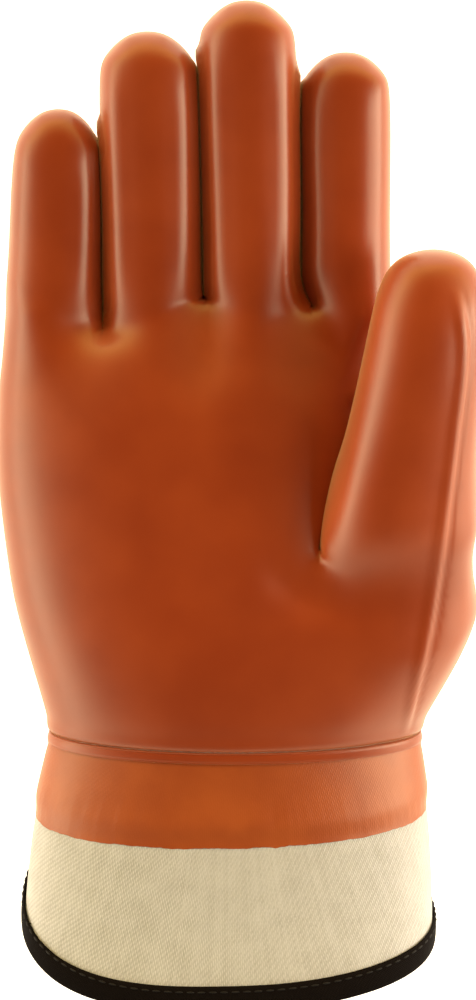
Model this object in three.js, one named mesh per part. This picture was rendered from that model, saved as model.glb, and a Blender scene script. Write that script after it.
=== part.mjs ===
// A winter work glove for the right hand, coated in PVC, with a flared canvas safety cuff. It lies on its
// back on a flat surface: the palm faces +Z, the fingers point along +Y and the thumb's side is +X.
// The coated shell is one hollow piece with walls of even thickness. A raised seam joins it to a canvas
// tube, whose upper part carries the coating as a thin skin and whose hem is bound with folded tape.
import * as THREE from "three";

// Driving sizes, in millimetres
const SHELL_WALL = 3.2; // lining and coating together
const PALM_LENGTH = 130; // wrist seam to knuckle line
const PALM_DEPTH = 60;
const FINGER_WIDTH = 30;
const FINGER_DEPTH = 33;
const FINGER_LENGTH = 94.8; // the longest finger's, past the knuckle line
const FINGER_GAP = 0.7;
const THUMB_WIDTH = 36;
const THUMB_DEPTH = 36;
const THUMB_LENGTH = 95.8; // from its web to its tip
const SEAM_WIDTH = 3.4;
const SEAM_PROUD = 0.6; // how far the wrist seam stands out of the coating
const HEM_WIDTH = 131;
const HEM_DEPTH = 78;
const CUFF_INSET = 0.5; // the cuff's top lies this far inside the shell's edge
const CUFF_PALM_LENGTH = 71; // wrist seam to hem, along the palm side
const CUFF_BACK_LENGTH = 42.5;
const CUFF_THUMB_DROP = 3.2; // how much further down the hem lies on the thumb's side
const CUFF_CORNER_RISE = 2.8; // how much less far it reaches between there and the palm side's middle
const COATED_PALM_LENGTH = 24.6; // how far the coating reaches down the cuff
const COATED_BACK_LENGTH = 18;
const COATED_THUMB_RISE = 1.2; // how much less far it reaches on the thumb's side
const CANVAS = 1.8;
const COATING = 0.8;
const BINDING = 1.0;
const BINDING_HEIGHT = 4.8;
const CLEARANCE = 0.3; // between pieces that touch

// The fingers, from the little one. width, depth and length are shares of the sizes above, width at the
// knuckles, and taper is the share of it lost at the tip. lift is how far the tip's underside rises, as a
// share of the depth, and lean how far the tip lies to the thumb's side of the base, as one of the width.
const FINGERS = [
  { width: 1.02, taper: 0.16, depth: 0.91, length: 0.6624, lift: 0.167, lean: 0.077 },
  { width: 1.0, taper: 0.01, depth: 0.97, length: 0.905, lift: 0.227, lean: -0.047 },
  { width: 0.98, taper: 0, depth: 1, length: 1, lift: 0.258, lean: -0.067 },
  { width: 0.907, taper: 0.01, depth: 0.94, length: 0.84, lift: 0.227, lean: -0.04 },
];

// What follows from them
const FINGER_GAPS = FINGER_GAP * (FINGERS.length - 1);
const KNUCKLE_WIDTH = FINGERS.reduce((sum, f) => sum + f.width * FINGER_WIDTH, FINGER_GAPS);
const HAND_START = SEAM_WIDTH / 2 + CLEARANCE; // where the shell begins, above the middle of the wrist seam
const CANVAS_OFFSET = -(COATING + CLEARANCE); // the canvas lies under the coated surface by this much

// The rings of the palm, wrist first. along is a share of PALM_LENGTH, left and right are shares of
// KNUCKLE_WIDTH from the middle of the knuckles, crease is where the thumb's crease crosses, as a share of
// the row's own width. bottom, top, and the heights of the widest points on the little finger's side and
// the thumb's are shares of PALM_DEPTH. round and thumbRound are the section's fullness on those sides:
// 2 is an ellipse, and more is squarer.
const PALM_COLUMNS = [
  "along", "left", "right", "crease", "bottom", "top",
  "littleSide", "thumbSide", "round", "thumbRound",
];
const PALM_ROWS = [
  [0, -0.39, 0.584, 0.7, 0.07, 0.97, 0.5, 0.5, 2, 2],
  [0.066, -0.405, 0.61, 0.7, 0.03, 1.0, 0.48, 0.53, 2.1, 2.3],
  [0.19, -0.443, 0.676, 0.69, -0.02, 1.01, 0.45, 0.58, 2.2, 2.7],
  [0.31, -0.476, 0.716, 0.678, -0.03, 0.98, 0.43, 0.6, 2.2, 3.1],
  [0.428, -0.496, 0.73, 0.668, -0.03, 0.93, 0.41, 0.6, 2.2, 2.4],
  [0.6225, -0.518, 0.512, null, -0.03, 0.84, 0.37, 0.3, 2.2, 1.8],
  [0.7855, -0.516, 0.503, null, -0.03, 0.755, 0.33, 0.295, 2.3, 2.0],
  [0.91, -0.508, 0.5, null, -0.02, 0.665, 0.31, 0.3, 2.5, 2.3],
].map((row) => Object.fromEntries(row.map((value, i) => [PALM_COLUMNS[i], value])));
const SPLIT = 4; // the row where the thumb parts from the palm

// The crotches between neighbouring fingers: up is the distance past the knuckle line and drift the
// sideways shift, both as shares of PALM_LENGTH; fade is the shift on the row below; valley is the height
// left over the crease in the palm's face and back, as a share of the finger's half depth.
const CROTCHES = [
  { up: -0.036, drift: 0.0, fade: -0.01, valley: 0.62 },
  { up: 0.032, drift: 0.003, fade: 0.012, valley: 0.62 },
  { up: 0.012, drift: 0.028, fade: 0.05, valley: 0.6 },
];
const VALLEY_FADE = 0.045; // the creases' depth on the row below the knuckles, as a share of PALM_DEPTH
const CROTCH_RISE = 0.06; // of each crotch's middle over its ends, as a share of the finger's width

// The web between thumb and palm, from the crease in the palm's face round to the one at the back. across
// is a share of KNUCKLE_WIDTH, along one of PALM_LENGTH and height one of PALM_DEPTH.
const WEB = [
  { across: 0.3, along: 0.425, height: 0.85 },
  { across: 0.328, along: 0.507, height: 0.765 },
  { across: 0.415, along: 0.548, height: 0.58 },
  { across: 0.505, along: 0.568, height: 0.37 },
  { across: 0.555, along: 0.575, height: 0.16 },
];

// The thumb's rings above the web. along and lean are the middle's place up from the split row and
// sideways, as shares of THUMB_LENGTH, height its height as a share of PALM_DEPTH, width and depth are
// shares of the thumb's own, and slant is how far the ring tips back.
const THUMB_ROWS = [
  { along: 0.0, lean: -0.02, width: 1.4, depth: 1.06, height: 0.69, slant: 0 },
  { along: 0.2, lean: -0.01, width: 1.28, depth: 1.05, height: 0.775, slant: 0.42 },
  { along: 0.37, lean: 0.015, width: 1.13, depth: 1.02, height: 0.82, slant: 0.22 },
  { along: 0.55, lean: 0.04, width: 1.03, depth: 0.99, height: 0.85, slant: 0.08 },
  { along: 0.73, lean: 0.062, width: 0.955, depth: 0.94, height: 0.86, slant: 0 },
  { along: 0.86, lean: 0.074, width: 0.86, depth: 0.83, height: 0.855, slant: 0 },
  { along: 0.955, lean: 0.08, width: 0.62, depth: 0.6, height: 0.85, slant: 0 },
];
const THUMB_TIP = { lean: 0.083, height: 0.845 };
const THUMB_ANGLES = [150, 102, 55, 8, -38, -82, -126, -170]; // degrees, of the points round each ring
const THUMB_ROUND = 2.3;
const CREASE_EASE = 0.6; // how far the two ends of the thumb's crease are drawn towards their neighbours

// The fingers' rings: along is a share of the straight part, width and depth are shares of the finger's
const FINGER_ROWS = [
  { along: 0.12, width: 1.0, depth: 1.06 },
  { along: 0.38, width: 0.985, depth: 1.01 },
  { along: 0.7, width: 1.0, depth: 0.96 },
  { along: 1.0, width: 0.985, depth: 0.91 },
];
const FINGER_ROUND = 2.45;
const KNUCKLE_SWELL = 1.1; // the fingers' depth at the knuckle line, as a share of their own
const LIFT_CURVE = 1.6; // the power by which the fingers' undersides rise towards their tips
const TIP_ANGLES = [58, 28]; // degrees off the finger's axis, of the rings over the round tip
const FINGER_ANGLES = [135, 90, 45, 0, -45, -90, -135, 180];

const HEM_SHIFT = 0.015; // of the hem's middle to the little finger's side, as a share of HEM_WIDTH
const HEM_ROUND = 2.5; // the hem's fullness
const CUFF_SWELL = 1.15; // the power by which the cuff deepens towards the hem

// How finely the pieces are divided
const FITTING_ROUNDS = 4;
const CUFF_STEPS = 56;
const CANVAS_ROWS = 5;
const COATING_ROWS = 2;
const SEAM_STEPS = 6;

const radians = THREE.MathUtils.degToRad;
const mix = THREE.MathUtils.lerp;

// A cage of quads, which Catmull-Clark subdivision rounds into the glove's surface
class Cage {
  points = [];
  faces = [];
  eased = []; // points where creases run out, which are drawn towards their neighbours

  add(point) {
    return this.points.push(point) - 1;
  }

  ring(points) {
    return points.map((p) => this.add(p));
  }

  band(lower, upper) {
    lower.forEach((v, i) => {
      const next = (i + 1) % lower.length;
      this.faces.push([v, lower[next], upper[next], upper[i]]);
    });
  }

  cap(ring, tip) {
    for (let i = 0; i < ring.length; i += 2) {
      this.faces.push([ring.at(i - 1), ring[i], ring[i + 1], tip]);
    }
  }
}

// Each edge of the mesh once, with its faces
function edgesOf({ faces }) {
  const edges = new Map();
  faces.forEach((face, f) =>
    face.forEach((a, i) => {
      const b = face[(i + 1) % face.length];
      const key = Math.min(a, b) + "_" + Math.max(a, b);
      if (!edges.has(key)) edges.set(key, { ends: [a, b], faces: [] });
      edges.get(key).faces.push(f);
    }),
  );
  return edges;
}

const total = (points) => points.reduce((sum, p) => sum.add(p), new THREE.Vector3());

// For each point: its neighbours along edges, the far corners of its quads, and its neighbours along an
// open border
function neighboursOf(mesh) {
  const found = mesh.points.map(() => ({ near: [], far: [], border: [] }));
  for (const { ends, faces } of edgesOf(mesh).values()) {
    ends.forEach((v, i) => {
      found[v].near.push(ends[1 - i]);
      if (faces.length === 1) found[v].border.push(ends[1 - i]);
    });
  }
  for (const face of mesh.faces) {
    face.forEach((v, i) => found[v].far.push(face[(i + 2) % face.length]));
  }
  return found;
}

// Where the points lie on the smooth surface that subdivision tends to
function limitPoints(mesh) {
  return neighboursOf(mesh).map(({ near, far, border }, v) => {
    const at = (list) => total(list.map((i) => mesh.points[i]));
    if (border.length) return mesh.points[v].clone().multiplyScalar(4).add(at(border)).divideScalar(6);
    const n = near.length;
    return mesh.points[v]
      .clone()
      .multiplyScalar(n * n)
      .addScaledVector(at(near), 4)
      .add(at(far))
      .divideScalar(n * (n + 5));
  });
}

// Moves the cage's points until its smooth surface passes close by where they were
function fitted(cage) {
  const targets = cage.points.map((p) => p.clone());
  const mesh = { points: cage.points.map((p) => p.clone()), faces: cage.faces };
  for (let round = 0; round < FITTING_ROUNDS; round++) {
    limitPoints(mesh).forEach((p, i) => mesh.points[i].add(targets[i].clone().sub(p)));
  }
  return mesh;
}

// One step of Catmull-Clark subdivision
function subdivided(mesh) {
  const edges = edgesOf(mesh);
  const neighbours = neighboursOf(mesh);
  const centres = mesh.faces.map((face) => total(face.map((v) => mesh.points[v])).divideScalar(face.length));
  const facesAt = mesh.points.map(() => []);
  mesh.faces.forEach((face, f) => face.forEach((v) => facesAt[v].push(f)));
  const points = mesh.points.map((p, v) => {
    const { near, border } = neighbours[v];
    const at = (list) => total(list.map((i) => mesh.points[i]));
    if (border.length) return p.clone().multiplyScalar(6).add(at(border)).divideScalar(8);
    const n = near.length;
    const middles = total(facesAt[v].map((f) => centres[f])).divideScalar(n);
    return p
      .clone()
      .multiplyScalar(n - 2)
      .add(middles)
      .add(at(near).divideScalar(n))
      .divideScalar(n);
  });
  const edgePoint = new Map();
  for (const [key, { ends, faces }] of edges) {
    const sum = total(ends.map((v) => mesh.points[v]));
    const all = faces.map((f) => centres[f]);
    const point = all.length > 1 ? sum.add(total(all)).divideScalar(4) : sum.divideScalar(2);
    edgePoint.set(key, points.push(point) - 1);
  }
  const middle = (a, b) => edgePoint.get(Math.min(a, b) + "_" + Math.max(a, b));
  const faces = [];
  mesh.faces.forEach((face, f) => {
    const centre = points.push(centres[f].clone()) - 1;
    face.forEach((v, i) => {
      const next = face[(i + 1) % face.length];
      const before = face.at(i - 1);
      faces.push([v, middle(v, next), centre, middle(before, v)]);
    });
  });
  return { points, faces };
}

// A direction's sideways and upward shares on a section of the given fullness
function onSection(degrees, round) {
  const share = (v) => Math.sign(v) * Math.pow(Math.abs(v), 2 / round);
  return [share(Math.cos(radians(degrees))), share(Math.sin(radians(degrees)))];
}

// Unit normals at the points of a mesh of quads
function normalsOf({ points, faces }) {
  const normals = points.map(() => new THREE.Vector3());
  for (const [a, b, c, d] of faces) {
    const across = points[c].clone().sub(points[a]);
    const normal = across.cross(points[d].clone().sub(points[b]));
    [a, b, c, d].forEach((v) => normals[v].add(normal));
  }
  return normals.map((n) => n.normalize());
}

// The palm's width at a row, and a point of its face (side 1) or back (side -1) at a share of that width
const rowWidth = (row) => (row.right - row.left) * KNUCKLE_WIDTH;
function palmPoint(row, share, side) {
  const u = 2 * share - 1;
  const round = u < 0 ? row.round : row.thumbRound;
  const fullness = Math.pow(Math.max(0, 1 - Math.pow(Math.abs(u), round)), 1 / round);
  const widest = mix(row.littleSide, row.thumbSide, share);
  const height = mix(widest, side > 0 ? row.top : row.bottom, fullness);
  const x = row.left * KNUCKLE_WIDTH + share * rowWidth(row);
  const y = mix(HAND_START, PALM_LENGTH, row.along);
  return new THREE.Vector3(x, y, height * PALM_DEPTH);
}

// The fingers with their real sizes and the place of their middles at the knuckle line
function fingerBases() {
  let edge = -KNUCKLE_WIDTH / 2;
  return FINGERS.map((finger) => {
    const halfWidth = (finger.width * FINGER_WIDTH) / 2;
    const middle = edge + halfWidth;
    edge += 2 * halfWidth + FINGER_GAP;
    return {
      middle,
      halfWidth,
      halfDepth: (finger.depth * FINGER_DEPTH) / 2,
      length: finger.length * FINGER_LENGTH,
      taper: finger.taper,
      lift: finger.lift * FINGER_DEPTH,
      lean: finger.lean * FINGER_WIDTH,
    };
  });
}

// A ring round a finger. tip is the angle off its axis where the ring lies on the round tip, 90 on the shaft
function fingerRing(finger, along, width, depth, tip) {
  const straight = finger.length - finger.halfWidth;
  const reach = straight * along + finger.halfWidth * Math.cos(radians(tip));
  const share = reach / finger.length;
  const halfWidth = finger.halfWidth * width * (1 - finger.taper * share) * Math.sin(radians(tip));
  const halfDepth = finger.halfDepth * depth * Math.sin(radians(tip));
  const x = finger.middle + finger.lean * share;
  const z = finger.lift * Math.pow(share, LIFT_CURVE) + finger.halfDepth * depth;
  return FINGER_ANGLES.map((angle) => {
    const [across, up] = onSection(angle, FINGER_ROUND);
    return new THREE.Vector3(x + halfWidth * across, PALM_LENGTH + reach, z + halfDepth * up);
  });
}

// The ring through the knuckles: points of the face from the little finger to the index, the index's side,
// points of the back, and the little finger's side. With it come the points inside the three crotches.
function knuckleRow(cage) {
  const fingers = fingerBases();
  const last = fingers.length - 1;
  const point = ({ middle, halfWidth, halfDepth }, angle) => {
    const [across, up] = onSection(angle, FINGER_ROUND);
    return new THREE.Vector3(middle + halfWidth * across, PALM_LENGTH, halfDepth * KNUCKLE_SWELL * (1 + up));
  };
  const row = (side) => {
    const angle = 90 * side;
    const points = [];
    fingers.forEach((finger, i) => {
      if (i === 0) points.push(point(finger, angle + 45 * side));
      points.push(point(finger, angle));
      if (i === last) {
        points.push(point(finger, angle - 45 * side));
        return;
      }
      const { up, drift, valley } = CROTCHES[i];
      const depth = (finger.halfDepth + fingers[i + 1].halfDepth) / 2;
      points.push(new THREE.Vector3(
        finger.middle + finger.halfWidth + FINGER_GAP / 2 + drift * PALM_LENGTH,
        PALM_LENGTH * (1 + up),
        depth * KNUCKLE_SWELL * (1 + side * valley),
      ));
    });
    return points;
  };
  const face = row(1);
  const back = row(-1);
  const webs = CROTCHES.map((_, i) => face[2 * i + 2].clone().add(back[2 * i + 2]).divideScalar(2));
  webs.forEach((web, i) => {
    web.y += 2 * fingers[i].halfWidth * CROTCH_RISE;
  });
  return {
    face: cage.ring(face),
    back: cage.ring(back),
    littleSide: cage.add(point(fingers[0], 180)),
    thumbSide: cage.add(point(fingers[last], 0)),
    webs: cage.ring(webs),
    fingers,
  };
}

const THUMB_START = mix(HAND_START, PALM_LENGTH, PALM_ROWS[SPLIT].along);
function thumbPlace({ along = 1, lean, height }) {
  const split = PALM_ROWS[SPLIT];
  const x = split.right * KNUCKLE_WIDTH - (THUMB_ROWS[0].width * THUMB_WIDTH) / 2 + lean * THUMB_LENGTH;
  return new THREE.Vector3(x, THUMB_START + along * THUMB_LENGTH, height * PALM_DEPTH);
}

function thumbRing(row) {
  const middle = thumbPlace(row);
  return THUMB_ANGLES.map((angle) => {
    const [across, up] = onSection(angle, THUMB_ROUND);
    const x = (across * row.width * THUMB_WIDTH) / 2;
    const z = (up * row.depth * THUMB_DEPTH) / 2;
    return new THREE.Vector3(middle.x + x, middle.y - row.slant * z, middle.z + z);
  });
}

// The shell's cage. Each ring of the palm runs over the face from the little finger's side to the thumb's,
// then back round the back.
function shellCage() {
  const cage = new Cage();
  const knuckle = knuckleRow(cage);
  const faceX = knuckle.face.map((v) => cage.points[v].x);
  const shares = faceX.map((x) => (x + KNUCKLE_WIDTH / 2) / KNUCKLE_WIDTH);
  const columns = shares.length;
  const creaseColumn = columns - 3;
  const rings = PALM_ROWS.map((row, r) => {
    const place = (column) => {
      if (row.crease === null) return shares[column];
      if (column <= creaseColumn) return (row.crease * shares[column]) / shares[creaseColumn];
      const rest = (shares[column] - shares[creaseColumn]) / (1 - shares[creaseColumn]);
      return mix(row.crease, 1, rest);
    };
    const face = shares.map((_, column) => palmPoint(row, place(column), 1));
    const back = shares.map((_, column) => palmPoint(row, place(column), -1));
    const littleSide = palmPoint(row, 0, 1);
    const thumbSide = palmPoint(row, 1, 1);
    if (r === PALM_ROWS.length - 1) {
      CROTCHES.forEach(({ fade, drift }, i) => {
        const column = 2 * i + 2;
        face[column].x += (fade - drift) * PALM_LENGTH;
        face[column].z -= VALLEY_FADE * PALM_DEPTH;
      });
    }
    return { face, back, littleSide, thumbSide };
  });

  // At the split row the thumb's side takes the thumb's own section, and the web closes it off from the palm
  const split = rings[SPLIT];
  const [, front, outerFront, side] = thumbRing(THUMB_ROWS[0]);
  split.face[creaseColumn + 1].copy(front);
  split.face[creaseColumn + 2].copy(outerFront);
  split.thumbSide.copy(side);
  const web = WEB.map((w) => new THREE.Vector3(
    w.across * KNUCKLE_WIDTH,
    mix(HAND_START, PALM_LENGTH, w.along),
    w.height * PALM_DEPTH,
  ));
  split.face[creaseColumn].copy(web[0]);
  split.back[columns - 1].copy(web.at(-1));
  const innerWeb = cage.ring(web.slice(1, -1));

  const loops = rings.map((ring) =>
    cage.ring([...ring.face, ring.thumbSide, ...ring.back.toReversed(), ring.littleSide]),
  );
  cage.eased.push(loops[SPLIT][creaseColumn], loops[SPLIT][columns + 1]);
  const splitLoop = loops[SPLIT];
  const overWeb = [...splitLoop];
  overWeb.splice(creaseColumn + 1, 3, ...innerWeb);
  const knuckleLoop = [...knuckle.face, knuckle.thumbSide, ...knuckle.back.toReversed(), knuckle.littleSide];

  loops.push(knuckleLoop);
  for (let r = 0; r < loops.length - 1; r++) {
    cage.band(r === SPLIT ? overWeb : loops[r], loops[r + 1]);
  }

  const thumbLoop = [
    ...splitLoop.slice(creaseColumn, columns + 2),
    ...innerWeb.toReversed(),
  ];
  let below = thumbLoop;
  THUMB_ROWS.slice(1).forEach((row) => {
    const ring = cage.ring(thumbRing(row));
    cage.band(below, ring);
    below = ring;
  });
  cage.cap(below, cage.add(thumbPlace(THUMB_TIP)));

  knuckle.fingers.forEach((finger, i) => {
    const first = i === 0;
    const last = i === knuckle.fingers.length - 1;
    let ring = [
      ...[0, 1, 2].map((c) => knuckle.face[2 * i + c]),
      last ? knuckle.thumbSide : knuckle.webs[i],
      ...[2, 1, 0].map((c) => knuckle.back[2 * i + c]),
      first ? knuckle.littleSide : knuckle.webs[i - 1],
    ];
    const tipRow = FINGER_ROWS.at(-1);
    const rows = [
      ...FINGER_ROWS.map((row) => fingerRing(finger, row.along, row.width, row.depth, 90)),
      ...TIP_ANGLES.map((tip) => fingerRing(finger, 1, tipRow.width, tipRow.depth, tip)),
    ];
    for (const row of rows) {
      const next = cage.ring(row);
      cage.band(ring, next);
      ring = next;
    }
    cage.cap(ring, cage.add(fingerRing(finger, 1, 1, tipRow.depth, 0)[0]));
  });
  return cage;
}

// A closed mesh from points and faces of any number of corners
function meshOf(name, points, faces, material) {
  const corners = [];
  for (const face of faces) {
    for (let i = 1; i + 1 < face.length; i++) corners.push(face[0], face[i], face[i + 1]);
  }
  const geometry = new THREE.BufferGeometry().setFromPoints(points);
  geometry.setIndex(corners);
  geometry.computeVertexNormals();
  const mesh = new THREE.Mesh(geometry, material);
  mesh.name = name;
  return mesh;
}

// The coated shell: the smooth surface, the same moved inwards by the wall, and the rim at the wrist. Where
// it would reach below the surface that it lies on, it is pressed flat.
function handShell(material) {
  const cage = shellCage();
  const outside = subdivided(fitted(cage));
  outside.points = limitPoints(outside);
  const neighbours = neighboursOf(outside);
  for (const v of cage.eased) {
    const around = total(neighbours[v].near.map((i) => outside.points[i]));
    outside.points[v].lerp(around.divideScalar(neighbours[v].near.length), CREASE_EASE);
  }
  const normals = normalsOf(outside);
  const atRim = (v) => neighbours[v].border.length > 0;
  const inner = outside.points.map((p, v) => {
    const inwards = normals[v].clone();
    if (atRim(v)) inwards.setY(0).normalize();
    const moved = p.clone().addScaledVector(inwards, -SHELL_WALL);
    moved.z = Math.max(moved.z, SHELL_WALL);
    return moved;
  });
  outside.points.forEach((p) => {
    p.z = Math.max(p.z, 0);
  });
  const count = outside.points.length;
  const faces = [
    ...outside.faces,
    ...outside.faces.map((face) => face.map((v) => v + count).toReversed()),
  ];
  for (const { ends, faces: sides } of edgesOf(outside).values()) {
    if (sides.length === 1) faces.push([ends[1], ends[0], ends[0] + count, ends[1] + count]);
  }
  return meshOf("hand_shell", [...outside.points, ...inner], faces, material);
}

// The cuff's section. down is the distance below the middle of the wrist seam, as a share of the cuff's
// length there.
function cuffSection(down) {
  const wrist = PALM_ROWS[0];
  const flare = down * (2 - down);
  const swell = Math.pow(Math.max(down, 0), CUFF_SWELL);
  const wristMiddle = ((wrist.left + wrist.right) / 2) * KNUCKLE_WIDTH;
  const hemMiddle = wristMiddle - HEM_WIDTH * HEM_SHIFT;
  const bottom = mix(wrist.bottom * PALM_DEPTH + CUFF_INSET, -BINDING, swell);
  const top = mix(wrist.top * PALM_DEPTH - CUFF_INSET, HEM_DEPTH - BINDING, swell);
  return {
    middle: mix(wristMiddle, hemMiddle, down),
    halfWidth: mix(rowWidth(wrist) - 2 * CUFF_INSET, HEM_WIDTH - 2 * BINDING, flare) / 2,
    halfDepth: (top - bottom) / 2,
    height: (top + bottom) / 2,
    round: mix(wrist.round, HEM_ROUND, THREE.MathUtils.clamp(down, 0, 1)),
  };
}

// Angles go round the cuff from the thumb's side over the palm's; the share is 1 in the middle of the palm's
const palmShare = (angle) => (1 + Math.sin(angle)) / 2;

function cuffLength(angle) {
  const length = mix(CUFF_BACK_LENGTH, CUFF_PALM_LENGTH, palmShare(angle));
  return length + CUFF_THUMB_DROP * Math.cos(angle) - CUFF_CORNER_RISE * Math.sin(2 * angle);
}

function cuffSurface(down, angle) {
  const section = cuffSection(down);
  const [across, up] = onSection(THREE.MathUtils.radToDeg(angle), section.round);
  return new THREE.Vector3(
    section.middle + section.halfWidth * across,
    -down * cuffLength(angle),
    section.height + section.halfDepth * up,
  );
}

// A point at a distance below the seam's middle, moved outwards from the coated surface by offset. It stays
// as high over the ground as the hem's tape needs below it.
function cuffPoint(distance, angle, offset) {
  const down = distance / cuffLength(angle);
  const point = cuffSurface(down, angle);
  const small = 1e-3;
  const around = cuffSurface(down, angle + small).sub(cuffSurface(down, angle - small));
  const along = cuffSurface(down + small, angle).sub(cuffSurface(down - small, angle));
  const normal = around.cross(along).setY(0).normalize();
  point.addScaledVector(normal, offset);
  const lowest = BINDING + CANVAS_OFFSET + CLEARANCE - offset;
  point.z = Math.max(point.z, lowest);
  return point;
}

// A band round the cuff. Its outline at an angle is a closed list of distances below the seam and offsets.
function cuffBand(name, outlineAt, material) {
  const points = [];
  const faces = [];
  const size = outlineAt(0).length;
  for (let step = 0; step < CUFF_STEPS; step++) {
    const angle = (step / CUFF_STEPS) * 2 * Math.PI;
    outlineAt(angle).forEach(([distance, offset]) => points.push(cuffPoint(distance, angle, offset)));
    const next = (step + 1) % CUFF_STEPS;
    for (let i = 0; i < size; i++) {
      const j = (i + 1) % size;
      faces.push([step * size + i, next * size + i, next * size + j, step * size + j]);
    }
  }
  return meshOf(name, points, faces, material);
}

// Distances from start to end in equal steps
function steps(start, end, count) {
  return Array.from({ length: count + 1 }, (_, i) => mix(start, end, i / count));
}

// A plain wall between two offsets, from one distance below the seam to another
function wallOutline(start, end, outer, inner, count) {
  const down = steps(start, end, count);
  return [...down.map((d) => [d, outer]), ...down.toReversed().map((d) => [d, inner])];
}

const CUFF_START = SEAM_WIDTH / 2 + CLEARANCE;

function canvasCuff(material) {
  const outer = CANVAS_OFFSET;
  return cuffBand(
    "canvas_cuff",
    (angle) => wallOutline(CUFF_START, cuffLength(angle), outer, outer - CANVAS, CANVAS_ROWS),
    material,
  );
}

function cuffCoating(material) {
  const end = (angle) =>
    mix(COATED_BACK_LENGTH, COATED_PALM_LENGTH, palmShare(angle)) - COATED_THUMB_RISE * Math.cos(angle);
  return cuffBand(
    "cuff_coating",
    (angle) => wallOutline(CUFF_START, end(angle), 0, -COATING, COATING_ROWS),
    material,
  );
}

// The seam's roll: its upper end is as high as the shell's edge, its lower end as high as the cuff's coating
function wristSeam(material) {
  const half = SEAM_WIDTH / 2;
  const roll = steps(0, 180, SEAM_STEPS).map((degrees) => [
    -half * Math.cos(radians(degrees)),
    mix(CUFF_INSET, 0, degrees / 180) + SEAM_PROUD * Math.sin(radians(degrees)),
  ]);
  const inside = -CANVAS - COATING - CLEARANCE;
  const outline = [...roll, [half, inside], [-half, inside]];
  return cuffBand("wrist_seam", () => outline, material);
}

// Tape folded round the hem: a leg outside, a leg inside, and the fold under the canvas
function hemBinding(material) {
  const face = CANVAS_OFFSET + CLEARANCE;
  const lining = CANVAS_OFFSET - CANVAS - CLEARANCE;
  return cuffBand(
    "hem_binding",
    (angle) => {
      const hem = cuffLength(angle);
      return [
        [hem - BINDING_HEIGHT, face + BINDING],
        [hem + CLEARANCE, face + BINDING],
        [hem + CLEARANCE + BINDING, face],
        [hem + CLEARANCE + BINDING, lining],
        [hem + CLEARANCE, lining - BINDING],
        [hem - BINDING_HEIGHT, lining - BINDING],
        [hem - BINDING_HEIGHT, lining],
        [hem + CLEARANCE, lining],
        [hem + CLEARANCE, face],
        [hem - BINDING_HEIGHT, face],
      ];
    },
    material,
  );
}

const pvc = new THREE.MeshStandardMaterial({ color: 0xa84a1c, roughness: 0.38, metalness: 0 });
const pvcOnCanvas = new THREE.MeshStandardMaterial({ color: 0xb25320, roughness: 0.42, metalness: 0 });
const canvas = new THREE.MeshStandardMaterial({ color: 0xe4d3ab, roughness: 0.95, metalness: 0 });
const tape = new THREE.MeshStandardMaterial({ color: 0x2a1d1a, roughness: 0.85, metalness: 0 });

const glove = new THREE.Group();
glove.add(
  handShell(pvc),
  wristSeam(pvc),
  canvasCuff(canvas),
  cuffCoating(pvcOnCanvas),
  hemBinding(tape),
);

// The origin is the middle of the glove's footprint
const box = new THREE.Box3().setFromObject(glove, true);
const middle = box.getCenter(new THREE.Vector3());
glove.position.set(-middle.x, -middle.y, -box.min.z);

export default glove;
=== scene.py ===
# A winter work glove for the right hand, coated in PVC, with a canvas safety cuff. It lies on its back on a
# pale table, palm up, and is seen from above.
import math

import bmesh
import bpy
import numpy as np
from mathutils import Matrix, Vector, noise
from mathutils.bvhtree import BVHTree


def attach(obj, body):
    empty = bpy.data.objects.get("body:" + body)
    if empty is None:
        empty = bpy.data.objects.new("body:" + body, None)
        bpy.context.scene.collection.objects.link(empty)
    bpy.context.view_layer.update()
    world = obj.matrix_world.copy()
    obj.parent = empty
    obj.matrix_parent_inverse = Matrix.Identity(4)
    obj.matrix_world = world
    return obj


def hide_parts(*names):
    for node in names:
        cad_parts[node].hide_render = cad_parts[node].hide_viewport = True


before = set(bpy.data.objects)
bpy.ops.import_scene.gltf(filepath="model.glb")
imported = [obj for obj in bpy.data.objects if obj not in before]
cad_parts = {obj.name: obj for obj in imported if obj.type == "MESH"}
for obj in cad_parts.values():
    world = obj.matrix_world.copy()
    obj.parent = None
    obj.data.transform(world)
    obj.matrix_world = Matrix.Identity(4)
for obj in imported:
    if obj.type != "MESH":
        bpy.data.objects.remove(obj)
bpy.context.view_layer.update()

MM = 0.001


# The hand. A foam and jersey glove on a hand-shaped former is dipped in PVC, which leaves one seamless skin.
# The skin follows the liner below it, so the liner's side seams show through as soft ridges.
def copy_of(node, name):
    """A new piece made of a frame node's mesh, with its points merged and its quads back."""
    piece = bpy.data.objects.new(name, bpy.data.meshes.new(name))
    bpy.context.scene.collection.objects.link(piece)
    skin = bmesh.new()
    skin.from_mesh(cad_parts[node].data)
    bmesh.ops.remove_doubles(skin, verts=skin.verts, dist=0.01 * MM)
    bmesh.ops.join_triangles(
        skin, faces=skin.faces, angle_face_threshold=math.pi, angle_shape_threshold=math.pi
    )
    for face in skin.faces:
        face.smooth = True
        face.material_index = 0
    skin.to_mesh(piece.data)
    skin.free()
    return piece


def points_of(mesh):
    """A mesh's points, as an array with a row each."""
    places = np.empty(len(mesh.vertices) * 3)
    mesh.vertices.foreach_get("co", places)
    return places.reshape(-1, 3)


def normals_of(mesh):
    """The surface's direction at each of a mesh's points, as an array with a row each."""
    directions = np.empty(len(mesh.vertices) * 3)
    mesh.vertices.foreach_get("normal", directions)
    return directions.reshape(-1, 3)


def move_points(mesh, places):
    """Puts a mesh's points at the rows of an array."""
    mesh.vertices.foreach_set("co", places.ravel())
    mesh.update()


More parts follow.
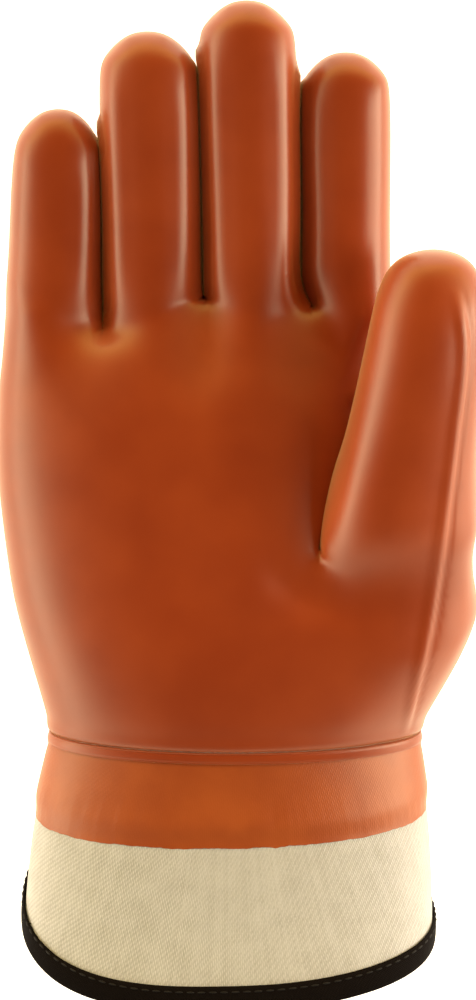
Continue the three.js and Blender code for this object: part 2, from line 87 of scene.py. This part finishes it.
def rounded(piece, levels, rounds=4):
    """Subdivides a piece into a smooth surface that still passes by the points that it has now."""
    modifier = piece.modifiers.new("rounding", "SUBSURF")
    modifier.levels = modifier.render_levels = 1
    goal = points_of(piece.data)
    for _ in range(rounds):
        surface = piece.evaluated_get(bpy.context.evaluated_depsgraph_get()).data
        move_points(piece.data, points_of(piece.data) + goal - points_of(surface)[: len(goal)])
    modifier.levels = modifier.render_levels = levels
    smooth = piece.evaluated_get(bpy.context.evaluated_depsgraph_get())
    coarse = piece.data
    piece.data = bpy.data.meshes.new_from_object(smooth)
    piece.data.name = piece.name
    piece.modifiers.clear()
    bpy.data.meshes.remove(coarse)


def inside_out(piece):
    """Gives the inner wall of an open shell, and its rim, the piece's second material."""
    skin = bmesh.new()
    skin.from_mesh(piece.data)
    rim = min(v.co.y for v in skin.verts)
    outer = {max(skin.faces, key=lambda f: f.calc_center_median().z)}
    front = list(outer)
    while front:
        near = {n for e in front.pop().edges for n in e.link_faces} - outer
        near = {f for f in near if max(v.co.y for v in f.verts) > rim + 0.1 * MM}
        outer |= near
        front.extend(near)
    for face in skin.faces:
        face.material_index = 0 if face in outer else 1
    skin.to_mesh(piece.data)
    skin.free()


# Where the solids' folds and tips turn abruptly: the middle of each spot and its radius, in mm
SPOTS = [
    ((-70, 48, 22), 18), ((28, 57, 30), 14), ((26, -21, 50), 11), ((13, 8, 44), 30), ((20, 40, 36), 14),
    ((52, -24, 60), 24), ((70, -24, 52), 18),
    ((-55, 112, 28), 15), ((-28, 133, 30), 16), ((2, 140, 30), 16), ((31, 128, 29), 15),
]
SPOT_ROUNDS = 40
# From the little finger on, in mm: each finger's middle at its base, how far it leans, and where its tip is
FINGERS = [(-56.1, 2.3, 117), (-25.1, -1.4, 141), (5.3, -2.0, 147), (34.3, -1.2, 134)]
# Where the palm's face is fuller than the solids': across, along, radius, height and the level that it stays
# below, in mm
FULLER = [
    (20, 2, 26, 3.0, 90), (27, 12, 14, 4.0, 56), (20, -12, 12, 3.0, 56), (20, 36, 12, 1.0, 90),
    (56, -36, 16, 3.4, 90), (46, -33, 14, 1.0, 90), (-40, 47, 9, 1.3, 90),
]
PALM_FACE_FROM = 25 * MM
LEVEL_FADE = 5 * MM
KNUCKLES_AT = 56 * MM
FINGER_LENGTH = 95 * MM
HALF_FINGER = 15 * MM
UNDERSIDE = 12 * MM
ROLL = 0.05  # how steeply the fingers' faces are tipped
SHOULDER = 1.0 * MM  # how much fuller their faces are beside another finger
SHOULDER_FADE = 24 * MM
THUMB_ACROSS = 34 * MM  # the thumb lies past this, and above the next
THUMB_LEVEL = 33 * MM
THUMB_FADE = 6 * MM
PAST_INDEX = 50 * MM
SLIT = 7.5 * MM  # wider gaps between the fingers stay open
SLIT_SHARE = 0.56  # of the way to the next finger that a skin is pressed
SLITS_FROM = 30 * MM
SLITS_END = 46 * MM
TIPS_FROM = 75 * MM
TIPS_FADE = 10 * MM


def ease(share):
    """A smooth step from 0 to 1, as the share goes from 0 to 1."""
    share = np.clip(share, 0, 1)
    return share * share * (3 - 2 * share)


def soften(piece, spots, rounds):
    """Evens out the surface round each spot, most in its middle."""
    skin = bmesh.new()
    skin.from_mesh(piece.data)
    shares = {}
    for v in skin.verts:
        near = max(1 - (v.co - Vector(middle) * MM).length / (radius * MM) for middle, radius in spots)
        if near > 0 and all(f.material_index == 0 for f in v.link_faces):
            shares[v] = float(ease(1.5 * near))
    for _ in range(rounds):
        goals = {
            v: sum((e.other_vert(v).co for e in v.link_edges), Vector()) / len(v.link_edges) for v in shares
        }
        for v, goal in goals.items():
            v.co = v.co.lerp(goal, 0.5 * shares[v])
    skin.to_mesh(piece.data)
    skin.free()


def fill_out(piece, places_over):
    """Raises the palm's face smoothly round each place."""
    places = points_of(piece.data)
    facing = ease(normals_of(piece.data)[:, 2] * 2 - 0.4) * (places[:, 2] > PALM_FACE_FROM)
    raised = np.zeros(len(places))
    for x, y, radius, height, level in places_over:
        away = np.hypot(places[:, 0] - x * MM, places[:, 1] - y * MM) / (radius * MM)
        below = ease((level * MM - places[:, 2]) / LEVEL_FADE)
        raised += height * MM * np.exp(-(away**2)) * facing * below
    places[:, 2] += raised
    move_points(piece.data, places)


def shape_fingers(piece):
    """Tips the fingers' faces a little, and makes them fuller beside the slits, as on the real glove."""
    places = points_of(piece.data)
    x, y, z = places.T
    inward = x - 3 * MM * normals_of(piece.data)[:, 0]
    along = (y - KNUCKLES_AT) / FINGER_LENGTH
    middles = np.array([(base + lean * np.clip(along, 0, 1)) * MM for base, lean, tip in FINGERS])
    own = np.abs(middles - inward).argmin(axis=0)
    offset = x - middles[own, np.arange(len(places))]
    before_tip = np.array([tip * MM for base, lean, tip in FINGERS])[own] - y
    fuller = ease((np.abs(offset) / HALF_FINGER - 0.35) / 0.45) * ease(before_tip / SHOULDER_FADE - 0.2)
    fuller *= np.where(own == 0, offset > 0, np.where(own == len(FINGERS) - 1, offset < 0, True))
    raised = (ROLL * offset + SHOULDER * fuller) * ease(along * 3 + 0.3) * ease(z / UNDERSIDE)
    by_thumb = ease((z - THUMB_LEVEL) / THUMB_FADE) * ease((x - THUMB_ACROSS) / THUMB_FADE)
    places[:, 2] += raised * (1 - by_thumb) * (x < PAST_INDEX)
    move_points(piece.data, places)


def press_fingers(piece):
    """Fills the slits between fingers, whose skins lie against each other on the real glove."""
    mesh = piece.data
    places = points_of(mesh)
    normals = normals_of(mesh)
    outer = {v for face in mesh.polygons if face.material_index == 0 for v in face.vertices}
    outer = [v for v in outer if places[v][1] > SLITS_FROM and places[v][0] < SLITS_END]
    tree = BVHTree.FromObject(piece, bpy.context.evaluated_depsgraph_get())
    moved = places.copy()
    for v in outer:
        out = Vector(normals[v])
        away = tree.ray_cast(Vector(places[v]) + 0.01 * MM * out, out, SLIT)[3]
        if away:
            share = SLIT_SHARE * (1 - (away / SLIT) ** 2) ** 2
            by_tip = ease((places[v][1] - TIPS_FROM) / TIPS_FADE)
            share *= 1 - by_tip * (1 - ease(1.3 - 2.5 * abs(normals[v][1])))
            moved[v] += normals[v] * away * share
    move_points(mesh, moved)


hand = copy_of("hand_shell", "moulded_hand")
inside_out(hand)
rounded(hand, 2)
fill_out(hand, FULLER)
soften(hand, SPOTS, SPOT_ROUNDS)
shape_fingers(hand)
press_fingers(hand)

# The liner's seam down the outside of the thumb, as points across and along in mm, which lie on the skin
THUMB_SEAM = [(63, 66), (65.5, 52), (63.5, 24), (61, 0), (58, -30), (54, -55), (51.5, -73.5)]
SEAM_POINTS = 160
SEAM_REACH = 5 * MM
SEAM_HEIGHT = 0.75 * MM
SEAM_WIDTH = 1.7 * MM
GROOVE_DEPTH = 0.4 * MM
GROOVE_WIDTH = 0.8 * MM
GROOVE_PLACE = 2.6 * MM
SEAM_ENDS = 0.08  # of the seam's length, over which it rises from the skin


def drape(route, piece, count):
    """Points at equal steps on a smooth route, dropped from above onto the piece."""
    knots = np.array(route) * MM
    gaps = np.linalg.norm(np.diff(knots, axis=0), axis=1)
    along = np.concatenate([[0], np.cumsum(gaps)])
    places = np.linspace(0, along[-1], count)
    slopes = np.gradient(knots, along, axis=0)
    tree = BVHTree.FromObject(piece, bpy.context.evaluated_depsgraph_get())
    dropped = []
    for place in places:
        i = min(np.searchsorted(along, place, side="right") - 1, len(gaps) - 1)
        t = (place - along[i]) / gaps[i]
        x, y = (
            (2 * t**3 - 3 * t**2 + 1) * knots[i]
            + (t**3 - 2 * t**2 + t) * gaps[i] * slopes[i]
            + (3 * t**2 - 2 * t**3) * knots[i + 1]
            + (t**3 - t**2) * gaps[i] * slopes[i + 1]
        )
        hit = tree.ray_cast(Vector((x, y, 1)), Vector((0, 0, -1)))[0]
        if hit:
            dropped.append(hit)
    return np.array(dropped)


def refine_near(piece, route, reach):
    """Divides the faces within reach of a route, so that they can take its relief."""
    skin = bmesh.new()
    skin.from_mesh(piece.data)
    steps = [(i, i + 1, i + 1) for i in range(len(route) - 1)]
    tree = BVHTree.FromPolygons([Vector(p) for p in route], steps)
    edges = [e for e in skin.edges if tree.find_nearest((e.verts[0].co + e.verts[1].co) / 2, reach)[0]]
    bmesh.ops.subdivide_edges(skin, edges=edges, cuts=1, use_grid_fill=True, smooth=0)
    skin.to_mesh(piece.data)
    skin.free()


def press_seam(piece, route):
    """Raises a soft ridge along the route, with a groove on its outer side."""
    places = points_of(piece.data)
    normals = normals_of(piece.data)
    steps = np.gradient(route, axis=0)
    steps /= np.linalg.norm(steps, axis=1)[:, None]
    for v in range(len(places)):
        offset = places[v] - route
        away = np.linalg.norm(offset, axis=1)
        near = away.argmin()
        if away[near] > 4 * SEAM_WIDTH:
            continue
        sideways = np.cross(steps[near], normals[v]) @ offset[near]
        ends = min(near, len(route) - 1 - near) / (SEAM_ENDS * len(route))
        lift = SEAM_HEIGHT * math.exp(-((sideways / SEAM_WIDTH) ** 2))
        lift -= GROOVE_DEPTH * math.exp(-(((sideways + GROOVE_PLACE) / GROOVE_WIDTH) ** 2))
        past = max(0, away[near] - abs(sideways)) / SEAM_WIDTH
        places[v] += normals[v] * lift * min(1, ends) * math.exp(-(past**2))
    move_points(piece.data, places)


seam_route = drape(THUMB_SEAM, hand, SEAM_POINTS)
refine_near(hand, seam_route, SEAM_REACH)
press_seam(hand, seam_route)


def add_node(tree, kind, inputs=None, **settings):
    """A shader node with its settings, its fixed inputs and its incoming links."""
    made = tree.nodes.new("ShaderNode" + kind)
    for name, value in settings.items():
        setattr(made, name, value)
    for name, value in (inputs or {}).items():
        if isinstance(value, bpy.types.NodeSocket):
            tree.links.new(value, made.inputs[name])
        else:
            made.inputs[name].default_value = value
    return made


def calc(tree, operation, *values):
    """The result of a math node."""
    return add_node(tree, "Math", dict(enumerate(values)), operation=operation).outputs[0]


def new_group(name, inputs, outputs):
    """An empty node group with float or vector sockets, and its two end nodes."""
    tree = bpy.data.node_groups.new(name, "ShaderNodeTree")
    for socket, (kind, value) in inputs.items():
        made = tree.interface.new_socket(socket, in_out="INPUT", socket_type="NodeSocket" + kind)
        if value is not None:
            made.default_value = value
    for socket in outputs:
        tree.interface.new_socket(socket, in_out="OUTPUT", socket_type="NodeSocketFloat")
    return tree, tree.nodes.new("NodeGroupInput"), tree.nodes.new("NodeGroupOutput")


def new_material(name, **finish):
    """A material whose Principled shader has the given fixed values."""
    material = bpy.data.materials.new(name)
    material.use_nodes = True
    shader = material.node_tree.nodes["Principled BSDF"]
    for socket, value in finish.items():
        shader.inputs[socket.replace("_", " ")].default_value = value
    return material, material.node_tree, shader


# Grain: the faint orange peel of a dipped skin. Its height is for a bump, and its mask for tone and gloss.
grain, given, result = new_group(
    "dipped grain",
    {"Vector": ("Vector", None), "Size": ("Float", 1.0), "Cloud Size": ("Float", 20.0)},
    ["Height", "Mask"],
)
for size, detail, output in (("Size", 2.0, "Height"), ("Cloud Size", 3.0, "Mask")):
    per_metre = calc(grain, "DIVIDE", 1 / MM, given.outputs[size])
    look = {"Vector": given.outputs["Vector"], "Scale": per_metre, "Detail": detail}
    grain.links.new(add_node(grain, "TexNoise", look).outputs["Fac"], result.inputs[output])


def use_group(tree, group, inputs):
    """A node that stands for a group, with its fixed inputs and its incoming links."""
    return add_node(tree, "Group", inputs, node_tree=group)


def ramp(tree, factor, *stops):
    """A colour ramp from (position, colour) stops."""
    made = add_node(tree, "ValToRGB", {"Fac": factor})
    elements = made.color_ramp.elements
    while len(elements) < len(stops):
        elements.new(0.5)
    for element, (position, colour) in zip(elements, stops):
        element.position = position
        element.color = (*colour, 1)
    return made.outputs["Color"]


def bump(tree, height, strength, depth):
    """A surface direction from a height."""
    inputs = {"Height": height, "Strength": strength, "Distance": depth}
    return add_node(tree, "Bump", inputs).outputs[0]


def finish_with(tree, shader, tone, relief):
    """Links a colour and a relief to a material's shader."""
    tree.links.new(tone, shader.inputs["Base Color"])
    tree.links.new(relief, shader.inputs["Normal"])


PVC_DEEP = (0.335, 0.037, 0.005)
PVC_BRIGHT = (0.395, 0.049, 0.007)
COATING_FINISH = {
    "IOR": 1.58, "Specular_Tint": (1.0, 0.94, 0.72, 1),
    "Sheen_Weight": 0.6, "Sheen_Roughness": 0.4, "Sheen_Tint": (1.0, 0.84, 0.45, 1),
}
pvc, tree, shader = new_material("burnt orange PVC", **COATING_FINISH)
place = add_node(tree, "TexCoord").outputs["Object"]
skin_grain = use_group(tree, grain, {"Vector": place, "Size": 1.1, "Cloud Size": 24.0})
tone = ramp(tree, skin_grain.outputs["Mask"], (0.35, PVC_DEEP), (0.68, PVC_BRIGHT))
gloss = add_node(
    tree, "MapRange", {"Value": skin_grain.outputs["Mask"], "To Min": 0.30, "To Max": 0.38}
)
tree.links.new(gloss.outputs[0], shader.inputs["Roughness"])
finish_with(tree, shader, tone, bump(tree, skin_grain.outputs["Height"], 0.25, 0.05 * MM))

LINER_LIGHT = (0.78, 0.74, 0.66)
LINER_NAP_SHADE = (0.585, 0.555, 0.495)
liner, tree, shader = new_material("brushed jersey", Roughness=0.95, Sheen_Weight=0.4)
place = add_node(tree, "TexCoord").outputs["Object"]
nap = use_group(tree, grain, {"Vector": place, "Size": 0.9, "Cloud Size": 6.0})
# Painted shade: the jersey's tone follows the nap's height, so it is darker where the nap lies lower.
tone = ramp(tree, nap.outputs["Height"], (0.3, LINER_NAP_SHADE), (0.65, LINER_LIGHT))
finish_with(tree, shader, tone, bump(tree, nap.outputs["Height"], 0.8, 0.4 * MM))

hand.data.materials.append(pvc)
hand.data.materials.append(liner)
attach(hand, "root")
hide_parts("hand_shell")


# The wrist seam. The cuff is sewn to the liner there, and the coating covers the turned edges as a welt.
welt = copy_of("wrist_seam", "wrist_welt")
rounded(welt, 2)
welt.data.materials.append(pvc)
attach(welt, "root")
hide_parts("wrist_seam")


# The cuff: a tube of stiff unbleached cotton twill, cut flared. The cloth's yarns run along and round it.
RING_STEPS = 720


def wrap_cloth(piece):
    """A UV map in metres: across runs round the tube, and up runs along the glove."""
    mesh = piece.data
    places = points_of(mesh)
    middle = (places.min(axis=0) + places.max(axis=0)) / 2
    angles = np.arctan2(places[:, 2] - middle[2], places[:, 0] - middle[0])
    wide, deep = (places.max(axis=0) - middle)[[0, 2]]
    turns = np.linspace(-np.pi, np.pi, RING_STEPS + 1)
    ring = np.stack([wide * np.cos(turns), deep * np.sin(turns)], axis=1)
    lengths = np.concatenate([[0], np.cumsum(np.linalg.norm(np.diff(ring, axis=0), axis=1))])
    whole = lengths[-1]
    across = -np.interp(np.arctan2(np.sin(angles) / deep, np.cos(angles) / wide), turns, lengths)
    layer = mesh.uv_layers.new(name="cloth")
    for polygon in mesh.polygons:
        first = across[polygon.vertices[0]]
        for corner, v in zip(polygon.loop_indices, polygon.vertices):
            u = across[v] + whole * round((first - across[v]) / whole)
            layer.data[corner].uv = (u, places[v][1])


cuff = copy_of("canvas_cuff", "twill_cuff")
rounded(cuff, 2)
wrap_cloth(cuff)

# Weave: yarns side by side, each passing over and under the crossing ones, one step later than its neighbour
weave, given, result = new_group(
    "weave",
    {"Vector": ("Vector", None), "Pitch": ("Float", 0.6), "Repeat": ("Float", 3.0)},
    ["Height", "Yarn"],
)
axes = add_node(weave, "SeparateXYZ", {0: given.outputs["Vector"]})
pitch = calc(weave, "MULTIPLY", given.outputs["Pitch"], MM)
across = calc(weave, "DIVIDE", axes.outputs["X"], pitch)
up = calc(weave, "DIVIDE", axes.outputs["Y"], pitch)
yarn = calc(weave, "FLOOR", across)
crown = calc(weave, "SINE", calc(weave, "MULTIPLY", calc(weave, "FRACT", across), math.pi))
share = calc(weave, "DIVIDE", calc(weave, "SUBTRACT", up, yarn), given.outputs["Repeat"])
wave = calc(weave, "SINE", calc(weave, "MULTIPLY", share, 2 * math.pi))
over = add_node(weave, "MapRange", {"Value": wave, "From Min": -1.0, "From Max": 1.0, "To Min": 0.3})
height = calc(weave, "MULTIPLY", crown, over.outputs[0])
own = add_node(weave, "TexWhiteNoise", {"W": yarn}, noise_dimensions="1D")
weave.links.new(height, result.inputs["Height"])
weave.links.new(own.outputs["Value"], result.inputs["Yarn"])

TWILL = {"Pitch": 0.62, "Repeat": 3.0}  # the yarns' pitch in mm, and after how many the weave repeats
CANVAS_LIGHT = (0.68, 0.62, 0.60)
CANVAS_DARK = (0.42, 0.37, 0.33)
canvas, tree, shader = new_material("cotton twill", Roughness=0.92, Sheen_Weight=0.6)
place = add_node(tree, "UVMap", uv_map="cloth").outputs["UV"]
cloth = use_group(tree, weave, {"Vector": place, **TWILL})
spot = add_node(tree, "TexCoord").outputs["Object"]
slubs = use_group(tree, grain, {"Vector": spot, "Size": 0.7, "Cloud Size": 7.0})
# The tone mixes the twill's own slubs and yarn-to-yarn colour with painted shade. The weave's height is added
# as well, so the hollows between yarns are darker.
slubs_and_weave_shade = calc(tree, "ADD", slubs.outputs["Height"], slubs.outputs["Mask"])
slubs_and_weave_shade = calc(tree, "ADD", slubs_and_weave_shade, calc(tree, "MULTIPLY", cloth.outputs["Yarn"], 0.3))
slubs_and_weave_shade = calc(tree, "ADD", slubs_and_weave_shade, cloth.outputs["Height"])
tone = ramp(tree, calc(tree, "DIVIDE", slubs_and_weave_shade, 2.3), (0.25, CANVAS_DARK), (0.85, CANVAS_LIGHT))
finish_with(tree, shader, tone, bump(tree, cloth.outputs["Height"], 0.8, 0.15 * MM))

cuff.data.materials.append(canvas)
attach(cuff, "root")
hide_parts("canvas_cuff")


# The dip line. The glove is dipped past its wrist, so the top of the cuff carries the coating as a thin skin,
# through which the weave shows faintly. It ends in a thin and slightly ragged edge.
EDGE_THICKNESS = 0.12 * MM
EDGE_REACH = 7 * MM
EDGE_SECTORS = 20  # in each radian
FRAY_HEIGHT = 0.4 * MM
FRAY_LENGTH = 7 * MM
FRAY_WAVES = [(1, 1), (3.1, 0.6), (7, 0.3)]  # how often, and how high
FRAY_FROM = -84 * MM
FRAY_FADE = 12 * MM
CUFF_RADIUS = 60 * MM


def angles_round(places):
    """The angle of each point round the middle of a tube that lies along the glove."""
    return np.arctan2(places[:, 2] - places[:, 2].mean(), places[:, 0] - places[:, 0].mean())


def thin_edge(piece, cloth):
    """Draws a band's outer wall down onto the cloth towards its lower edge."""
    places = points_of(piece.data)
    tree = BVHTree.FromObject(cloth, bpy.context.evaluated_depsgraph_get())
    sector = np.round(angles_round(places) * EDGE_SECTORS)
    lowest = {s: places[sector == s, 1].min() for s in set(sector)}
    for v in range(len(places)):
        hit, normal = tree.find_nearest(places[v])[:2]
        out = (Vector(places[v]) - hit).dot(normal)
        if out > EDGE_THICKNESS:
            share = ease(1 - (places[v, 1] - lowest[sector[v]]) / EDGE_REACH)
            places[v] -= np.array(normal) * float(out - EDGE_THICKNESS) * float(share)
    move_points(piece.data, places)


def fray(piece):
    """Makes the lower edge of a band uneven, while its upper edge stays."""
    places = points_of(piece.data)
    for v, angle in enumerate(angles_round(places)):
        spot = Vector((math.cos(angle), math.sin(angle), 0)) * CUFF_RADIUS / FRAY_LENGTH
        wave = sum(height * noise.noise(often * spot) for often, height in FRAY_WAVES)
        places[v, 1] += FRAY_HEIGHT * wave * ease((FRAY_FROM - places[v, 1]) / FRAY_FADE)
    move_points(piece.data, places)


dipped = copy_of("cuff_coating", "dipped_cuff")
rounded(dipped, 3)
thin_edge(dipped, cuff)
fray(dipped)
wrap_cloth(dipped)

DIPPED_DEEP = (0.39, 0.062, 0.009)
DIPPED_BRIGHT = (0.46, 0.082, 0.013)
pvc_on_cloth, tree, shader = new_material("orange PVC on twill", Roughness=0.4, **COATING_FINISH)
place = add_node(tree, "UVMap", uv_map="cloth").outputs["UV"]
cloth = use_group(tree, weave, {"Vector": place, **TWILL})
spot = add_node(tree, "TexCoord").outputs["Object"]
skin_grain = use_group(tree, grain, {"Vector": spot, "Size": 0.8, "Cloud Size": 14.0})
tone = ramp(tree, skin_grain.outputs["Mask"], (0.35, DIPPED_DEEP), (0.68, DIPPED_BRIGHT))
both = calc(tree, "ADD", cloth.outputs["Height"], skin_grain.outputs["Height"])
finish_with(tree, shader, tone, bump(tree, both, 0.35, 0.06 * MM))
dipped.data.materials.append(pvc_on_cloth)
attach(dipped, "root")
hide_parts("cuff_coating")


# The hem's binding: dark cotton tape folded over the raw edge and sewn through all its layers.
binding = copy_of("hem_binding", "bound_hem")
rounded(binding, 2)
wrap_cloth(binding)

TAPE_WEAVE = {"Pitch": 0.4, "Repeat": 2.0}
TAPE_HOLLOW_SHADE = (0.003, 0.0014, 0.001)
TAPE_LIGHT = (0.008, 0.0042, 0.003)
tape, tree, shader = new_material("dark brown tape", Roughness=0.8, Specular_IOR_Level=0.06)
place = add_node(tree, "UVMap", uv_map="cloth").outputs["UV"]
cloth = use_group(tree, weave, {"Vector": place, **TAPE_WEAVE})
# Painted shade and highlight: the tape's tone follows the weave's height. It is darker in the hollows between
# yarns and lighter on their crowns.
tone = ramp(tree, cloth.outputs["Height"], (0.1, TAPE_HOLLOW_SHADE), (0.8, TAPE_LIGHT))
finish_with(tree, shader, tone, bump(tree, cloth.outputs["Height"], 0.8, 0.12 * MM))
binding.data.materials.append(tape)
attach(binding, "root")
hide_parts("hem_binding")

# The binding's lockstitch, in dark thread near the tape's upper edge, which shows outside and inside
STITCH_LENGTH = 2.4 * MM
STITCH_PITCH = 3.4 * MM
THREAD = 0.28 * MM
STITCH_DOWN = 1.5 * MM
HEM_STEPS = 1440
TOP_WINDOW = 0.04  # radians to each side, within which the tape's upper edge is sought
TOP_EVENING = 24  # steps to each side, over which its height is evened out
STITCH_AHEAD = 4  # steps, over which a stitch's direction is taken
OUTSIDE = 200 * MM  # from the cuff's middle to a place clear of it


def sew(piece, name):
    """A piece of stitches along both faces of a tape, below its upper edge."""
    places = points_of(piece.data)
    middle = (places.min(axis=0) + places.max(axis=0)) / 2
    tree = BVHTree.FromObject(piece, bpy.context.evaluated_depsgraph_get())
    sector = np.arctan2(places[:, 2] - middle[2], places[:, 0] - middle[0])
    outer, inner = [], []
    angles = np.linspace(-math.pi, math.pi, HEM_STEPS + 1)[:-1]
    apart = [np.abs((sector - angle + math.pi) % (2 * math.pi) - math.pi) for angle in angles]
    tops = np.array([places[a < TOP_WINDOW, 1].max() for a in apart])
    tops = np.mean([np.roll(tops, shift) for shift in range(-TOP_EVENING, TOP_EVENING + 1)], axis=0)
    for angle, top in zip(angles, tops):
        out = Vector((math.cos(angle), 0, math.sin(angle)))
        hub = Vector((middle[0], top - STITCH_DOWN, middle[2]))
        for row, start, way in ((outer, hub + OUTSIDE * out, -out), (inner, hub, out)):
            hit, normal = tree.ray_cast(start, way)[:2]
            if hit:
                row.append((hit, normal))
    stitches = bmesh.new()
    for row in (outer, inner):
        gone = STITCH_PITCH
        for (here, normal), (after, _) in zip(row, row[STITCH_AHEAD:]):
            gone += (after - here).length / STITCH_AHEAD
            if gone < STITCH_PITCH:
                continue
            gone -= STITCH_PITCH
            along = (after - here).normalized()
            up = (normal - along * normal.dot(along)).normalized()
            pose = Matrix((along, up.cross(along), up)).transposed().to_4x4()
            pose.translation = here
            size = Matrix.Diagonal((STITCH_LENGTH / 2, THREAD, THREAD, 1))
            bmesh.ops.create_icosphere(stitches, subdivisions=2, radius=1, matrix=pose @ size)
    for face in stitches.faces:
        face.smooth = True
    made = bpy.data.objects.new(name, bpy.data.meshes.new(name))
    bpy.context.scene.collection.objects.link(made)
    stitches.to_mesh(made.data)
    stitches.free()
    return made


hem_stitches = sew(binding, "hem_stitches")
thread, tree, shader = new_material("dark thread", Roughness=0.6, Specular_IOR_Level=0.2)
shader.inputs["Base Color"].default_value = (0.012, 0.008, 0.006, 1)
hem_stitches.data.materials.append(thread)
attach(hem_stitches, "root")


# The table and the studio: a pale lit table, a long soft box on the thumb's side, and a bright room
bpy.ops.mesh.primitive_plane_add(size=6)
table = bpy.context.object
table.name = "table"
white, tree, shader = new_material("pale table", Roughness=0.7, Emission_Strength=1.5)
shader.inputs["Base Color"].default_value = (0.9, 0.9, 0.9, 1)
shader.inputs["Emission Color"].default_value = (1, 0.88, 0.72, 1)
table.data.materials.append(white)

BOX_PLACE = Vector((0.85, 0.1, 0.30))
BOX_AIM = Vector((0, 0, 0.04))
BOX_SIZE = (0.30, 1.2)
BOX_BRIGHTNESS = 6.0
light = bpy.data.lights.new("right_soft_box", "AREA")
light.shape = "RECTANGLE"
light.size, light.size_y = BOX_SIZE
light.energy = BOX_BRIGHTNESS * math.pi * light.size * light.size_y
light.color = (1.0, 0.95, 0.84)
lamp = bpy.data.objects.new("right_soft_box", light)
bpy.context.scene.collection.objects.link(lamp)
lamp.location = BOX_PLACE
lamp.rotation_euler = (BOX_PLACE - BOX_AIM).to_track_quat("Z", "Y").to_euler()

# The room is bright along the floor and dark overhead. It is dimmer behind the cuff, and dimmer and warmer
# beyond the fingertips. The camera itself sees it plain white. The rows are brightnesses from the horizon up,
# and from behind the cuff to beyond the fingertips.
SKY_BY_HEIGHT = [(0.0, 0.9), (0.2, 0.85), (0.42, 0.45), (0.6, 0.09), (0.8, 0.005)]
SKY_BY_LENGTH = [(0.1, 0.45), (0.4, 1.0), (0.6, 1.0), (0.9, 0.65)]
SKY_LEFT = 6.2
SKY_MIDDLE = 4.4
SKY_PALE = (1.0, 0.96, 0.78)
SKY_WARM = (1.0, 0.8, 0.25)


def brightness_ramp(tree, factor, stops):
    """A ramp of greys from (position, brightness) stops."""
    return ramp(tree, factor, *((place, (glow, glow, glow)) for place, glow in stops))


world = bpy.data.worlds.new("bright sweep")
bpy.context.scene.world = world
world.use_nodes = True
tree = world.node_tree
sky = tree.nodes["Background"]
look = add_node(tree, "SeparateXYZ", {0: add_node(tree, "TexCoord").outputs["Generated"]})
fade = brightness_ramp(tree, look.outputs["Z"], SKY_BY_HEIGHT)
side = add_node(
    tree, "MapRange", {"Value": look.outputs["X"], "From Min": -1.0, "To Min": SKY_LEFT, "To Max": SKY_MIDDLE}
)
lengthwise = add_node(tree, "MapRange", {"Value": look.outputs["Y"], "From Min": -1.0, "From Max": 1.0})
ends = brightness_ramp(tree, lengthwise.outputs[0], SKY_BY_LENGTH)
glow = calc(tree, "MULTIPLY", calc(tree, "MULTIPLY", fade, side.outputs[0]), ends)
seen = add_node(tree, "LightPath").outputs["Is Camera Ray"]
strength = add_node(tree, "Mix", {"Factor": seen, "A": glow, "B": 1.0})
warmth = ramp(tree, look.outputs["Y"], (0.1, SKY_PALE), (0.8, SKY_WARM))
tint = add_node(tree, "MixRGB", {"Fac": seen, "Color1": warmth, "Color2": (1, 1, 1, 1)})
tree.links.new(strength.outputs[0], sky.inputs["Strength"])
tree.links.new(tint.outputs[0], sky.inputs["Color"])
bpy.context.scene.view_settings.view_transform = "Standard"

# The camera looks straight down on the palm, tipped a little towards the cuff
AIM = Vector((0.65, -1.06, 35)) * MM
DISTANCE = 700 * MM
TILT = math.radians(10)
SENSOR_HEIGHT = 36
FOCAL_LENGTH = 82.62
camera = bpy.data.objects.new("camera", bpy.data.cameras.new("camera"))
bpy.context.scene.collection.objects.link(camera)
camera.data.sensor_fit = "VERTICAL"
camera.data.sensor_height = SENSOR_HEIGHT
camera.data.lens = FOCAL_LENGTH
camera.location = AIM + DISTANCE * Vector((0, math.sin(TILT), math.cos(TILT)))
camera.rotation_euler = (-TILT, 0, 0)
bpy.context.scene.camera = camera

# Nothing reaches through the table
for piece in (hand, welt, cuff, dipped, binding, hem_stitches):
    places = points_of(piece.data)
    places[:, 2] = np.maximum(places[:, 2], 0)
    move_points(piece.data, places)
